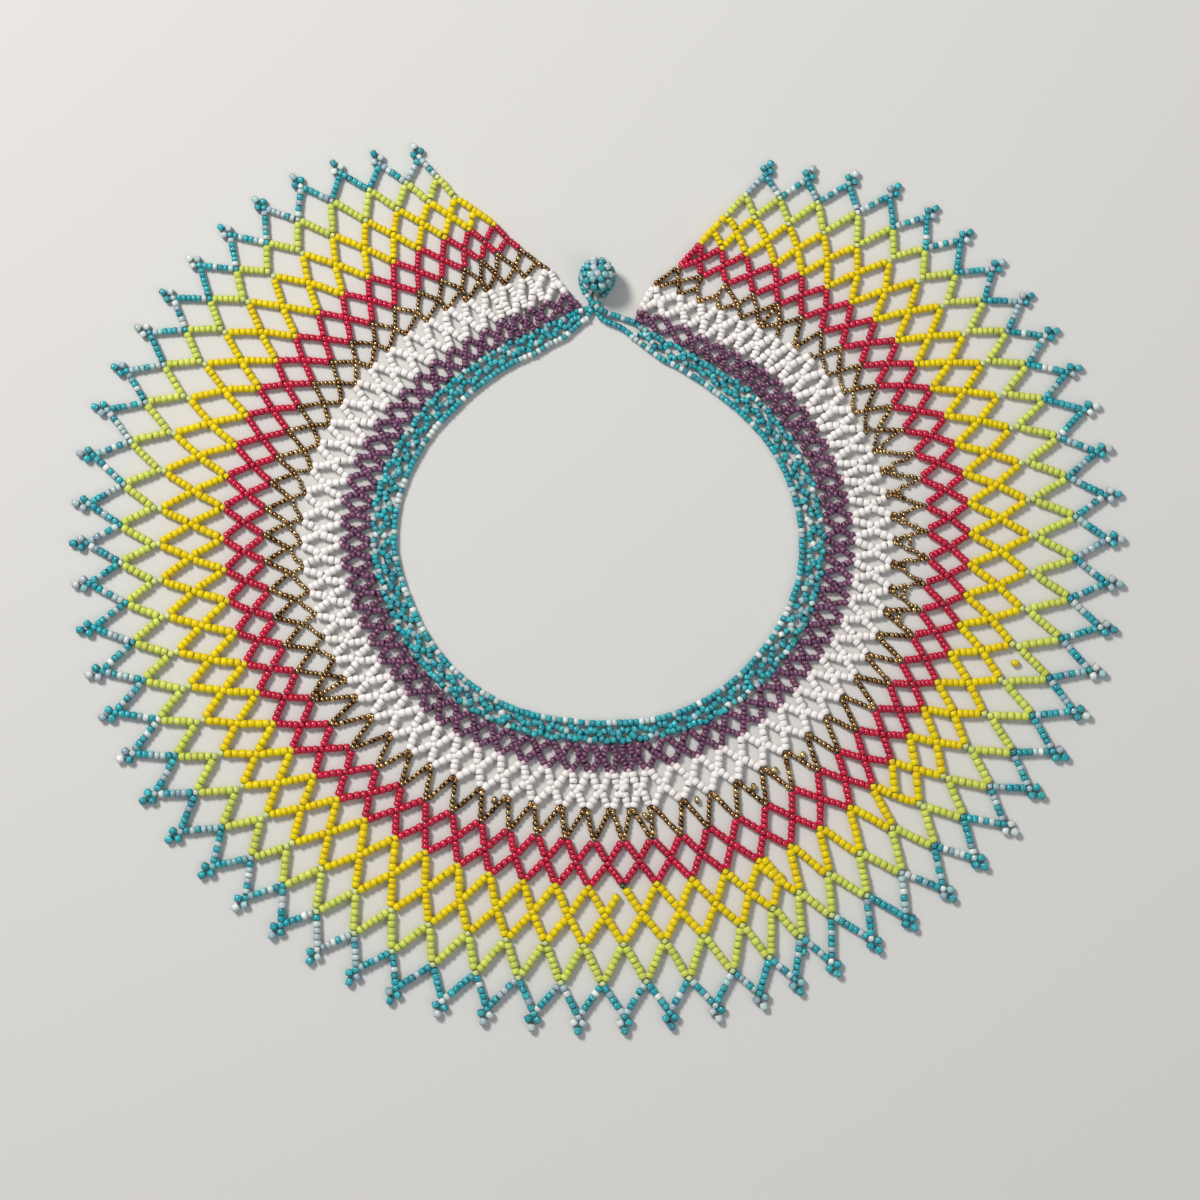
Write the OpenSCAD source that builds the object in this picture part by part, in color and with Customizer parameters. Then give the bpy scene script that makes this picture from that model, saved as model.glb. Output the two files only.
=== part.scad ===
// Netted bead collar: a flat bib that goes right round the neck, in bands of knotted bead strands.
// It lies on its back at z = 0. The wearer's back is at +Y, where a ball button closes it.
// Sizes are in millimetres and angles in degrees, clockwise from the back as seen from above.

/* [Strands] */
// Diameter of the turquoise beads on the rim string and on the button loop
rim_bead = 2.1; // [1.6:0.1:2.3]
// Width of a purple strand
purple_bead = 1.9; // [1.5:0.1:2.1]
// Width of a white strand
white_bead = 2.5; // [1.8:0.1:2.7]
// Width of a bronze strand
bronze_bead = 1.7; // [1.4:0.1:2.1]
// Width of a crimson strand
crimson_bead = 2.2; // [1.6:0.1:2.6]
// Width of a yellow strand
yellow_bead = 2.2; // [1.6:0.1:2.6]
// Width of a lime strand
lime_bead = 2.2; // [1.6:0.1:2.6]
// Width of a strand of the turquoise points
point_bead = 2.1; // [1.6:0.1:2.4]

/* [Net] */
// Number of points with a picot round the outer edge
points = 62; // [60:1:62]
// Clear space left between one band and the next
gap = 0.25; // [0.15:0.05:0.4]
// Length of a picot past the foot of its point
picot_l = 6.0; // [5:0.5:7]
// Width of a picot across its two side beads
picot_w = 5.0; // [4.4:0.2:5.6]

/* [Fastening] */
// Diameter of the ball button over its beads
ball_d = 10.6; // [9.6:0.2:11]
// Height of the ball's middle above the surface that the collar lies on
ball_z = 6.5; // [6.5:0.1:7.5]
// Thickness of the thread that carries the ball
shank_d = 0.8; // [0.6:0.1:0.9]

/* [Hidden] */

// Where the middle of the neck lies, from the middle of the whole collar
neck_x = 0.7;
neck_y = 17.4;

// Radii of the collar's rows of knots, from the middle of the neck, at angles round it.
// Columns: angle, rim string, turquoise edge, purple edge, white edge, bronze edge, crimson edge,
// yellow edge, lime edge, foot of the points.
SECTIONS = [
    [5, 61.5, 64.0, 68.0, 75.0, 83.0, 91.0, 100.5, 105.0, 111.0],
    [10, 58.5, 63.5, 67.5, 75.0, 83.0, 91.0, 100.5, 105.0, 111.0],
    [14, 56.5, 62.0, 67.0, 75.0, 82.5, 91.0, 100.5, 106.0, 112.0],
    [20, 54.5, 60.5, 66.5, 74.5, 81.5, 91.5, 101.0, 107.0, 114.0],
    [30, 54.0, 59.5, 66.0, 75.5, 83.0, 94.0, 106.5, 114.5, 121.5],
    [40, 54.0, 60.5, 68.0, 78.0, 86.5, 98.5, 113.5, 123.5, 132.5],
    [50, 55.0, 62.0, 70.0, 81.5, 89.5, 103.0, 120.5, 130.0, 138.0],
    [60, 56.5, 63.0, 72.0, 83.5, 93.0, 106.5, 123.5, 134.5, 143.0],
    [75, 58.5, 65.5, 74.0, 85.5, 96.5, 110.0, 127.0, 139.5, 149.5],
    [90, 60.5, 67.5, 76.5, 88.0, 98.0, 111.5, 129.0, 143.0, 152.5],
    [105, 61.5, 68.5, 77.5, 89.0, 98.5, 111.5, 128.5, 142.0, 153.0],
    [120, 61.0, 68.0, 76.5, 88.5, 98.0, 111.0, 127.5, 140.5, 150.5],
    [135, 60.5, 67.0, 75.5, 87.5, 97.0, 112.5, 125.0, 137.5, 149.0],
    [150, 60.0, 66.0, 74.5, 86.0, 95.7, 110.5, 123.5, 134.5, 146.5],
    [160, 59.5, 65.0, 73.5, 85.0, 94.5, 109.0, 126.0, 138.5, 147.0],
    [175, 58.0, 64.0, 72.8, 84.0, 92.7, 107.0, 124.5, 136.0, 146.0],
    [190, 58.0, 64.0, 72.8, 84.0, 92.7, 107.5, 125.0, 136.5, 146.5],
    [205, 59.5, 65.5, 73.7, 85.3, 94.7, 109.5, 129.5, 140.5, 150.5],
    [220, 60.5, 67.0, 75.5, 87.5, 97.0, 112.0, 131.5, 143.0, 152.5],
    [235, 61.0, 67.5, 76.5, 88.5, 99.5, 114.0, 132.0, 144.5, 155.0],
    [250, 61.0, 68.0, 77.5, 89.0, 100.5, 114.0, 132.0, 144.0, 155.5],
    [265, 62.0, 69.0, 78.0, 90.0, 100.5, 113.5, 132.5, 144.0, 154.0],
    [280, 61.0, 68.5, 77.5, 89.0, 99.5, 113.0, 131.5, 143.5, 153.5],
    [295, 59.0, 66.0, 74.5, 86.5, 97.0, 110.5, 128.0, 138.5, 147.0],
    [310, 57.0, 64.0, 72.0, 83.5, 92.5, 106.0, 123.5, 132.5, 141.5],
    [320, 56.5, 63.0, 70.5, 81.5, 90.0, 102.0, 118.0, 128.0, 136.0],
    [330, 56.5, 62.5, 69.5, 79.5, 88.0, 100.0, 112.5, 120.0, 127.0],
    [340, 56.5, 62.5, 69.5, 79.0, 88.0, 97.5, 107.0, 113.5, 120.0],
    [350, 59.0, 65.2, 71.0, 79.5, 86.0, 93.0, 102.0, 108.0, 114.0],
    [356, 63.5, 67.0, 72.5, 79.5, 86.0, 93.0, 102.0, 108.0, 114.0],
];
RIM = 1;
TURQUOISE = 2;
PURPLE = 3;
WHITE = 4;
BRONZE = 5;
CRIMSON = 6;
YELLOW = 7;
LIME = 8;
FOOT = 9;

// Where the columns of knots of the outer net stand. The strands lean a little from row to row.
// Columns: column number, angle at the foot of the points, at the yellow edge, at the crimson edge, at the
// bronze edge.
OUTER_COLUMNS = [
    [-2, 11.5, 13.5, 15.5, 11.5],
    [-1, 16.0, 17.8, 19.5, 16.5],
    [0, 20.5, 22.0, 23.3, 21.7],
    [1, 25.0, 26.3, 28.0, 27.0],
    [2, 30.5, 31.8, 33.5, 33.0],
    [4, 41.0, 42.2, 43.0, 43.5],
    [8, 61.5, 61.7, 62.3, 62.4],
    [12, 81.0, 81.0, 81.2, 81.0],
    [16, 101.0, 100.5, 100.0, 99.5],
    [20, 121.0, 120.6, 119.0, 118.0],
    [23, 136.3, 135.6, 133.3, 133.0],
    [24, 141.7, 141.2, 138.0, 137.8],
    [25, 146.5, 146.4, 143.6, 143.4],
    [26, 151.8, 151.3, 149.0, 148.8],
    [27, 156.6, 155.5, 154.4, 154.4],
    [28, 161.0, 160.1, 159.8, 159.9],
    [32, 182.5, 182.2, 181.8, 181.0],
    [36, 204.0, 203.5, 203.0, 202.3],
    [40, 224.0, 224.6, 224.3, 223.3],
    [44, 244.5, 244.4, 244.5, 245.0],
    [48, 264.0, 263.5, 264.0, 264.6],
    [50, 273.0, 272.8, 273.4, 273.6],
    [52, 283.7, 282.8, 283.0, 282.8],
    [56, 303.5, 302.9, 302.5, 301.9],
    [60, 324.0, 322.8, 322.5, 322.6],
    [62, 334.0, 332.6, 332.1, 332.7],
    [64, 341.0, 340.6, 340.8, 339.7],
    [66, 347.0, 347.5, 348.0, 349.0],
    [67, 350.0, 350.5, 351.0, 353.0],
];
// The inner net is closer, so it has columns of its own.
// Columns: column number, angle at the white edge, at the purple edge.
INNER_COLUMNS = [
    [0, 12.6, 10.3],
    [1, 18.6, 16.4],
    [2, 23.5, 23.1],
    [4, 33.5, 33.2],
    [6, 42.5, 42.3],
    [8, 50.8, 50.6],
    [12, 69.5, 69.0],
    [16, 87.3, 87.2],
    [20, 106.0, 105.8],
    [24, 124.6, 124.4],
    [26, 134.6, 134.2],
    [30, 157.0, 156.6],
    [32, 169.3, 168.9],
    [34, 177.8, 177.3],
    [36, 188.0, 187.2],
    [40, 210.4, 209.8],
    [44, 230.8, 230.0],
    [48, 248.8, 248.6],
    [52, 267.4, 267.1],
    [56, 286.8, 286.2],
    [60, 305.5, 305.0],
    [64, 325.2, 325.0],
    [66, 334.5, 334.3],
    [68, 343.5, 342.3],
    [69, 348.5, 346.4],
    [70, 353.0, 351.8],
    [71, 357.0, 354.6],
];
// A net is its columns, and the rows of knots that they give the angles of
OUTER_NET = [OUTER_COLUMNS, [0, 2, 4, 6]];
INNER_NET = [INNER_COLUMNS, [8, 10]];

// The net's rows of knots are numbered inwards: row 0 is the foot of the points, and row 12 lies on the
// turquoise edge. Columns: row, which of the SECTIONS columns holds it.
KNOT_ROWS = [
    [0, FOOT], [1, LIME], [2, YELLOW], [4, CRIMSON], [6, BRONZE], [8, WHITE], [10, PURPLE], [12, TURQUOISE],
];
crimson_row = 4;
white_row = 8;
turquoise_row = 12;
// The column at which the right end of the outer net stops growing
right_column = -1;
// How many columns farther the inner net goes at the left end, at the white edge
inner_more = 7;

// The ends of the turquoise band and of the rim string
band_from = 10.3;
band_to = 355.5;
rim_from = 9.5;
rim_to = 356.5;
band_step = 5;
rim_step = 5;

tube_sides = 8;
// Widest blunt end, as a share of half the distance between two knots, and the shallowest notch
blunt_share = 0.85;
notch_least = 0.3;

// The loop's route, from the right end's rim, round below the ball, and back over itself to the band
LOOP_ROUTE = [
    [9.5, 58.3, 1.1], [7.0, 60.3, 1.1], [4.3, 61.7, 1.1], [1.4, 62.8, 1.1], [-0.5, 64.8, 1.1],
    [-0.9, 67.2, 1.1], [0.4, 69.5, 1.1], [2.0, 71.5, 1.1], [3.5, 73.8, 1.1], [4.0, 76.2, 1.1],
    [2.8, 78.6, 1.1], [0.9, 80.0, 1.1], [-2.4, 80.0, 1.1], [-4.3, 78.6, 1.1], [-5.6, 76.2, 1.1],
    [-5.5, 74.2, 1.1], [-4.8, 72.0, 1.3], [-3.9, 70.3, 2.0], [-2.7, 68.6, 2.9], [-1.4, 67.1, 3.6],
    [0.3, 66.0, 3.2], [2.2, 65.1, 1.9], [4.4, 64.4, 1.2], [7.0, 63.5, 1.1], [9.8, 62.5, 1.1],
];
// The shank's route, from the end of the rim string, below the loop, to below the ball
SHANK_ROUTE = [
    [-3.6, 63.7, 1.0], [-3.3, 65.2, 0.5], [-3.2, 67.0, 0.4], [-2.9, 69.0, 0.4], [-2.2, 71.2, 0.4],
    [-1.4, 73.6, 0.4], [-0.8, 75.8, 0.4],
];
ball_x = -0.8;
ball_y = 76.2;

function column_of(table, k) = [for (row = table) [row[0], row[k]]];
function polar(radius, angle) = [radius * sin(angle), radius * cos(angle)];
function section_radius(k, angle) = lookup(angle, column_of(SECTIONS, k));
function has_section(row) = len([for (entry = KNOT_ROWS) if (entry[0] == row) entry]) > 0;

// Radius of a row of knots: a row without a section of its own lies halfway between its neighbours, and the
// turquoise row lies against the turquoise band
function knot_radius(row, angle) =
    has_section(row)
        ? section_radius(lookup(row, KNOT_ROWS), angle) + (row == turquoise_row ? purple_bead / 2 + gap : 0)
        : (knot_radius(row - 1, angle) + knot_radius(row + 1, angle)) / 2;

function net_of(row) = row < white_row ? OUTER_NET : INNER_NET;
function knot_angle(net, row, column) =
    lookup(row, [for (k = [0:len(net[1]) - 1]) [net[1][k], lookup(column, column_of(net[0], k + 1))]]);

// First and last column of a row: the left end grows by half a column a row, the right end stops growing
function first_column(row) =
    row <= crimson_row ? 1 - row / 2 : row < white_row ? right_column : 0;
function last_column(row) =
    row < white_row ? points + row / 2 : points + inner_more + (row - white_row) / 2;

// A point beside a knot: so far clockwise round the neck, and so far outwards
function beside(net, row, column, round_by, out_by) =
    let (angle = knot_angle(net, row, column), radius = knot_radius(row, angle))
        polar(radius + out_by, angle + round_by / radius * 180 / PI);

// Half the distance between two knots of a row, and the distance from one row to another
function half_pitch(net, row, column) =
    let (angle = knot_angle(net, row, column))
        knot_radius(row, angle)
            * (knot_angle(net, row, column + 0.5) - knot_angle(net, row, column - 0.5)) / 2 * PI / 180;
function rise(net, row, other, column) =
    let (angle = knot_angle(net, row, column))
        abs(knot_radius(row, angle) - knot_radius(other, angle));

// How far the edge of a strand lies beyond its knot, measured outwards, for half a strand's width h
function miter(h, a, b) = h * norm([a, b]) / a;
// Half the width of a knot's blunt end, where it is cut off so far past the knot
function blunt(h, past, a, b) = min(max((h * norm([a, b]) - past * a) / b, h / 3), blunt_share * a);
// How far a notch's floor lies beyond its knot, kept inside the blunt ends on both sides of it
function notch(h, past, a, b) = min(miter(h, a, b), b + past - notch_least);

// One edge of a band, in order of columns: side is 1 on the outer edge and -1 on the neck edge. The knots
// of the edge's own row end so far past their middle, and the notches reach in to the next row.
function band_edge(row, next_row, side, h, past) =
    let (net = net_of(row))
        [for (column = [first_column(row):last_column(row)])
            let (
                a = half_pitch(net, row, column),
                b = rise(net, row, next_row, column),
                w = blunt(h, past, a, b)
            )
                each concat(
                    [beside(net, row, column, -w, side * past), beside(net, row, column, w, side * past)],
                    column < last_column(row)
                        ? [beside(net, next_row, column + 0.5, 0, side * notch(h, past, a, b))]
                        : []
                )];

function reversed(list) = [for (i = [len(list) - 1:-1:0]) list[i]];

// One opening of the outer net: its four knots, drawn in towards its middle by half a strand
function mesh_opening(row, column, bead) =
    let (
        corners = [
            beside(OUTER_NET, row - 1, column, 0, 0), beside(OUTER_NET, row, column + 0.5, 0, 0),
            beside(OUTER_NET, row + 1, column, 0, 0), beside(OUTER_NET, row, column - 0.5, 0, 0)
        ],
        middle = (corners[0] + corners[1] + corners[2] + corners[3]) / 4,
        a = norm(corners[1] - corners[3]) / 2,
        b = norm(corners[0] - corners[2]) / 2,
        open_share = 1 - bead / 2 * norm([a, b]) / (a * b)
    )
        [for (corner = corners) middle + (corner - middle) * open_share];

// A band of strands between two rows of knots. It holds the knots of its neck edge, and stops short of the
// knots of its outer edge, which the next band holds.
module band(outer_row, bead, next_bead, pierced = false) {
    inner_row = outer_row + 2;
    outer = band_edge(outer_row, outer_row + 1, 1, bead / 2, -next_bead / 2 - gap);
    inner = band_edge(inner_row, inner_row - 1, -1, bead / 2, bead / 2);
    linear_extrude(height = bead)
        difference() {
            polygon(concat(outer, reversed(inner)));
            if (pierced)
                for (column = [first_column(inner_row) + 1:last_column(outer_row)])
                    polygon(mesh_opening(outer_row + 1, column, bead));
        }
}

// A tube swept along a route, with flat ends
function ring(center, toward, d) =
    let (
        t = toward / norm(toward),
        side_way = cross(t, [0, 0, 1]) / norm(cross(t, [0, 0, 1])),
        up_way = cross(side_way, t)
    )
        [for (i = [0:tube_sides - 1])
            let (turn = (i + 0.5) * 360 / tube_sides)
                center + d / 2 * (cos(turn) * side_way + sin(turn) * up_way)];

module tube(route, d) {
    last = len(route) - 1;
    rings = [for (i = [0:last]) each ring(route[i], route[min(i + 1, last)] - route[max(i - 1, 0)], d)];
    sides = [for (i = [0:last - 1], k = [0:tube_sides - 1])
        let (a = i * tube_sides, k2 = (k + 1) % tube_sides)
            [a + k, a + tube_sides + k, a + tube_sides + k2, a + k2]];
    start_cap = [[for (k = [0:tube_sides - 1]) k]];
    end_cap = [[for (k = [tube_sides - 1:-1:0]) last * tube_sides + k]];
    polyhedron(rings, concat(sides, start_cap, end_cap), convexity = 6);
}

module at_neck() translate([neck_x, neck_y, 0]) children();

// The string of beads round the neck edge
module rim_strand() {
    angles = [for (a = [rim_from:rim_step:rim_to - rim_step / 2]) a];
    route = [for (a = concat(angles, [rim_to])) [each polar(section_radius(RIM, a), a), rim_bead / 2]];
    color("turquoise") at_neck() tube(route, rim_bead);
}

// The woven band beside the rim string
module turquoise_band() {
    angles = concat([for (a = [band_from:band_step:band_to - band_step / 2]) a], [band_to]);
    inner = [for (a = angles) polar(section_radius(RIM, a) + rim_bead / 2 + gap, a)];
    outer = [for (a = angles) polar(section_radius(TURQUOISE, a), a)];
    color("darkturquoise") at_neck() linear_extrude(height = rim_bead) polygon(concat(outer, reversed(inner)));
}

module purple_band() color("mediumorchid") at_neck() band(10, purple_bead, white_bead);

module white_band() color("white") at_neck() band(8, white_bead, bronze_bead);

module bronze_band() color("darkgoldenrod") at_neck() band(6, bronze_bead, crimson_bead);

module crimson_net() color("crimson") at_neck() band(4, crimson_bead, yellow_bead, pierced = true);

module yellow_net() color("gold") at_neck() band(2, yellow_bead, lime_bead, pierced = true);

// A single zigzag row: its outer edge has its notches at its own neck row
module lime_net() {
    outer = band_edge(1, 2, 1, lime_bead / 2, -point_bead / 2 - gap);
    inner = band_edge(2, 1, -1, lime_bead / 2, lime_bead / 2);
    color("greenyellow") at_neck() linear_extrude(height = lime_bead) polygon(concat(outer, reversed(inner)));
}

// The half outline of a picot, from its foot to its tip. Columns: half width as a share of picot_w / 2,
// height as a share of picot_l.
PICOT = [[0.45, 0.05], [1.0, 0.2], [1.0, 0.5], [0.5, 0.65], [0.5, 0.95], [0.25, 1.0]];

function picot(column) = concat(
    [for (p = PICOT) beside(OUTER_NET, 0, column, -p[0] * picot_w / 2, p[1] * picot_l)],
    [for (p = reversed(PICOT)) beside(OUTER_NET, 0, column, p[0] * picot_w / 2, p[1] * picot_l)]
);

// The outer zigzag row with a picot at every point
module turquoise_points() {
    h = point_bead / 2;
    outer = [for (column = [1:points])
        let (a = half_pitch(OUTER_NET, 0, column), b = rise(OUTER_NET, 0, 1, column))
            each concat(
                picot(column),
                column < points ? [beside(OUTER_NET, 1, column + 0.5, 0, miter(h, a, b))] : []
            )];
    inner = band_edge(1, 0, -1, h, h);
    color("turquoise") at_neck() linear_extrude(height = point_bead) polygon(concat(outer, reversed(inner)));
}

module button_loop() color("darkturquoise") at_neck() tube(LOOP_ROUTE, rim_bead);

module button_ball()
    color("lightseagreen") at_neck() translate([ball_x, ball_y, ball_z]) sphere(d = ball_d, $fn = 48);

module button_shank() color("darkslategray") at_neck() tube(SHANK_ROUTE, shank_d);

rim_strand();
turquoise_band();
purple_band();
white_band();
bronze_band();
crimson_net();
yellow_net();
lime_net();
turquoise_points();
button_loop();
button_ball();
button_shank();
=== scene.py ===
"""A collar of glass seed beads, netted in bands of colour and laid flat round its neck opening.

Every band is one piece. Its beads are placed knot by knot, strand by strand, and one tree of nodes sets a
bead on each place, turned along its thread.
"""

import functools
import math
import random

import bpy
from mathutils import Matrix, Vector


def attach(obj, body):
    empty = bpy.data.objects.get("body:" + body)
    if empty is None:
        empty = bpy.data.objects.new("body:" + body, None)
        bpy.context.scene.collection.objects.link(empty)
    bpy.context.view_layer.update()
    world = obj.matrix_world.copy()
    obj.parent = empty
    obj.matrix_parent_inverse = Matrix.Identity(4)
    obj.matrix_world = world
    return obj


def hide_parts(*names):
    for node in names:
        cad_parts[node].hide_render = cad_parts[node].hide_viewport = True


bl_info = {
    "name": "Netted bead collar",
    "version": (1, 0, 0),
    "blender": (4, 5, 0),
    "location": "View3D > Sidebar > Collar",
    "description": "Beads, threads and fastening of a netted collar, on its packed frame",
    "category": "Object",
}

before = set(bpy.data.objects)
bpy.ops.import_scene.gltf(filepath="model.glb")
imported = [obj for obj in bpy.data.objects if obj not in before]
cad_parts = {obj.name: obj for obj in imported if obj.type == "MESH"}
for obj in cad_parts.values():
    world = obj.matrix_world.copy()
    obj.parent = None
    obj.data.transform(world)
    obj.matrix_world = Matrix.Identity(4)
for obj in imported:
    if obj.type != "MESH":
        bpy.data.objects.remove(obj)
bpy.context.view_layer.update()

MM = 0.001
# Middle of the neck opening, in millimetres
NECK = Vector((0.7, 17.4))

# Radii in millimetres of the rows of knots, from the middle of the neck, at angles clockwise from the back.
SECTION_COLUMNS = (
    "angle", "rim", "turquoise", "purple", "white", "bronze", "crimson", "yellow", "lime", "foot",
)
SECTIONS = (
    (5, 61.5, 64.0, 68.0, 75.0, 83.0, 91.0, 100.5, 105.0, 111.0),
    (10, 58.5, 63.5, 67.5, 75.0, 83.0, 91.0, 100.5, 105.0, 111.0),
    (14, 56.5, 62.0, 67.0, 75.0, 82.5, 91.0, 100.5, 106.0, 112.0),
    (20, 54.5, 60.5, 66.5, 74.5, 81.5, 91.5, 101.0, 107.0, 114.0),
    (30, 54.0, 59.5, 66.0, 75.5, 83.0, 94.0, 106.5, 114.5, 121.5),
    (40, 54.0, 60.5, 68.0, 78.0, 86.5, 98.5, 113.5, 123.5, 132.5),
    (50, 55.0, 62.0, 70.0, 81.5, 89.5, 103.0, 120.5, 130.0, 138.0),
    (60, 56.5, 63.0, 72.0, 83.5, 93.0, 106.5, 123.5, 134.5, 143.0),
    (75, 58.5, 65.5, 74.0, 85.5, 96.5, 110.0, 127.0, 139.5, 149.5),
    (90, 60.5, 67.5, 76.5, 88.0, 98.0, 111.5, 129.0, 143.0, 152.5),
    (105, 61.5, 68.5, 77.5, 89.0, 98.5, 111.5, 128.5, 142.0, 153.0),
    (120, 61.0, 68.0, 76.5, 88.5, 98.0, 111.0, 127.5, 140.5, 150.5),
    (135, 60.5, 67.0, 75.5, 87.5, 97.0, 112.5, 125.0, 137.5, 149.0),
    (150, 60.0, 66.0, 74.5, 86.0, 95.7, 110.5, 123.5, 134.5, 146.5),
    (160, 59.5, 65.0, 73.5, 85.0, 94.5, 109.0, 126.0, 138.5, 147.0),
    (175, 58.0, 64.0, 72.8, 84.0, 92.7, 107.0, 124.5, 136.0, 146.0),
    (190, 58.0, 64.0, 72.8, 84.0, 92.7, 107.5, 125.0, 136.5, 146.5),
    (205, 59.5, 65.5, 73.7, 85.3, 94.7, 109.5, 129.5, 140.5, 150.5),
    (220, 60.5, 67.0, 75.5, 87.5, 97.0, 112.0, 131.5, 143.0, 152.5),
    (235, 61.0, 67.5, 76.5, 88.5, 99.5, 114.0, 132.0, 144.5, 155.0),
    (250, 61.0, 68.0, 77.5, 89.0, 100.5, 114.0, 132.0, 144.0, 155.5),
    (265, 62.0, 69.0, 78.0, 90.0, 100.5, 113.5, 132.5, 144.0, 154.0),
    (280, 61.0, 68.5, 77.5, 89.0, 99.5, 113.0, 131.5, 143.5, 153.5),
    (295, 59.0, 66.0, 74.5, 86.5, 97.0, 110.5, 128.0, 138.5, 147.0),
    (310, 57.0, 64.0, 72.0, 83.5, 92.5, 106.0, 123.5, 132.5, 141.5),
    (320, 56.5, 63.0, 70.5, 81.5, 90.0, 102.0, 118.0, 128.0, 136.0),
    (330, 56.5, 62.5, 69.5, 79.5, 88.0, 100.0, 112.5, 120.0, 127.0),
    (340, 56.5, 62.5, 69.5, 79.0, 88.0, 97.5, 107.0, 113.5, 120.0),
    (350, 59.0, 65.2, 71.0, 79.5, 86.0, 93.0, 102.0, 108.0, 114.0),
    (356, 63.5, 67.0, 72.5, 79.5, 86.0, 93.0, 102.0, 108.0, 114.0),
)

# Angles of the columns of knots in the outer net: column, foot of the points, yellow, crimson and bronze edge
OUTER_COLUMNS = (
    (-2, 11.5, 13.5, 15.5, 11.5),
    (-1, 16.0, 17.8, 19.5, 16.5),
    (0, 20.5, 22.0, 23.3, 21.7),
    (1, 25.0, 26.3, 28.0, 27.0),
    (2, 30.5, 31.8, 33.5, 33.0),
    (4, 41.0, 42.2, 43.0, 43.5),
    (8, 61.5, 61.7, 62.3, 62.4),
    (12, 81.0, 81.0, 81.2, 81.0),
    (16, 101.0, 100.5, 100.0, 99.5),
    (20, 121.0, 120.6, 119.0, 118.0),
    (23, 136.3, 135.6, 133.3, 133.0),
    (24, 141.7, 141.2, 138.0, 137.8),
    (25, 146.5, 146.4, 143.6, 143.4),
    (26, 151.8, 151.3, 149.0, 148.8),
    (27, 156.6, 155.5, 154.4, 154.4),
    (28, 161.0, 160.1, 159.8, 159.9),
    (32, 182.5, 182.2, 181.8, 181.0),
    (36, 204.0, 203.5, 203.0, 202.3),
    (40, 224.0, 224.6, 224.3, 223.3),
    (44, 244.5, 244.4, 244.5, 245.0),
    (48, 264.0, 263.5, 264.0, 264.6),
    (50, 273.0, 272.8, 273.4, 273.6),
    (52, 283.7, 282.8, 283.0, 282.8),
    (56, 303.5, 302.9, 302.5, 301.9),
    (60, 324.0, 322.8, 322.5, 322.6),
    (62, 334.0, 332.6, 332.1, 332.7),
    (64, 341.0, 340.6, 340.8, 339.7),
    (66, 347.0, 347.5, 348.0, 349.0),
    (67, 350.0, 350.5, 351.0, 353.0),
)
# Angles of the columns of knots in the inner net: column, white edge, purple edge.
INNER_COLUMNS = (
    (0, 12.6, 10.3),
    (1, 18.6, 16.4),
    (2, 23.5, 23.1),
    (4, 33.5, 33.2),
    (6, 42.5, 42.3),
    (8, 50.8, 50.6),
    (12, 69.5, 69.0),
    (16, 87.3, 87.2),
    (20, 106.0, 105.8),
    (24, 124.6, 124.4),
    (26, 134.6, 134.2),
    (30, 157.0, 156.6),
    (32, 169.3, 168.9),
    (34, 177.8, 177.3),
    (36, 188.0, 187.2),
    (40, 210.4, 209.8),
    (44, 230.8, 230.0),
    (48, 248.8, 248.6),
    (52, 267.4, 267.1),
    (56, 286.8, 286.2),
    (60, 305.5, 305.0),
    (64, 325.2, 325.0),
    (66, 334.5, 334.3),
    (68, 343.5, 342.3),
    (69, 348.5, 346.4),
    (70, 353.0, 351.8),
    (71, 357.0, 354.6),
)

# Rows of knots, counted inwards from the foot of the points
FOOT, LIME, YELLOW, CRIMSON, BRONZE, WHITE, PURPLE, TURQUOISE = 0, 1, 2, 4, 6, 8, 10, 12
ROW_SECTIONS = {
    FOOT: "foot", LIME: "lime", YELLOW: "yellow", CRIMSON: "crimson",
    BRONZE: "bronze", WHITE: "white", PURPLE: "purple", TURQUOISE: "turquoise",
}
# Last columns of the outer net, of the inner net, and of the turquoise chains, which go on past its last knot
POINTS = 62
INNER_LAST = 69
CHAIN_LAST = 71
# Steps of a chain's line from one column to the next
CHAIN_STEPS = 6

# Share by which beads are smaller at the back, and where that begins and ends, in millimetres behind the middle
# of the neck
BACK_FADE = 0.14
FADE_FROM, FADE_TO = -30.0, 80.0

# How the beads lie, as shares of a bead's width or length where no unit is given.
# Height of a bead's middle above the surface, and by how many millimetres it varies
REST_HEIGHT, HEIGHT_SPREAD = 0.57, 0.06
# Shortest step from bead to bead on a strand with a set number of beads, and the longest that a bead fills
LEAST_PACE, MOST_PACE = 0.68, 1.3
# Length of a bead beside its step to the next one, at least and at most
BEAD_IN_PACE = (1.02, 1.12)
# Room that a strand's beads need between the reaches of its two knots
STRAND_ROOM = 1.3
# How far the thread goes on past the middle of a strand's last bead, and its height in millimetres
THREAD_PAST, THREAD_HEIGHT = 0.45, 1.0
# Half the room that two beads take side by side, and the most that it may be of their reach from the knot
SIDE_BY_SIDE, MOST_SIDEWAYS = 0.42, 0.75
# Length of a knot's bead beside its width, and how much of the width that it lacks lifts it
KNOT_BEAD_LENGTH, KNOT_LIFT = 0.9, 0.4

# Columns in which the yellow net is one row of long strands instead of two rows
LONG_YELLOW = range(23, 27)
# Knots in the bronze band near the right end: angle, then the columns of the knots on the crimson edge and on
# the white edge that their strands lead to
BRONZE_MIDDLES = (
    (17.4, (-1, 0), (0, 1)),
    (21.8, (0,), (1, 2)),
    (26.6, (1,), (2, 3)),
    (31.4, (1, 2), (3, 4)),
    (35.8, (2, 3), (4, 5)),
    (41.1, (3, 4), (5, 6)),
)

# Columns of the bronze band: those where its strands cross, those where they are twisted, and the zigzag's
CROSSED_RIGHT, CROSSED_LEFT = range(8, 13), range(43, 66)
TWISTED_RIGHT, TWISTED_LEFT = range(13, 20), range(44, 52)
ZIGZAG_COLUMNS = (7, *range(13, 46))
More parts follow.
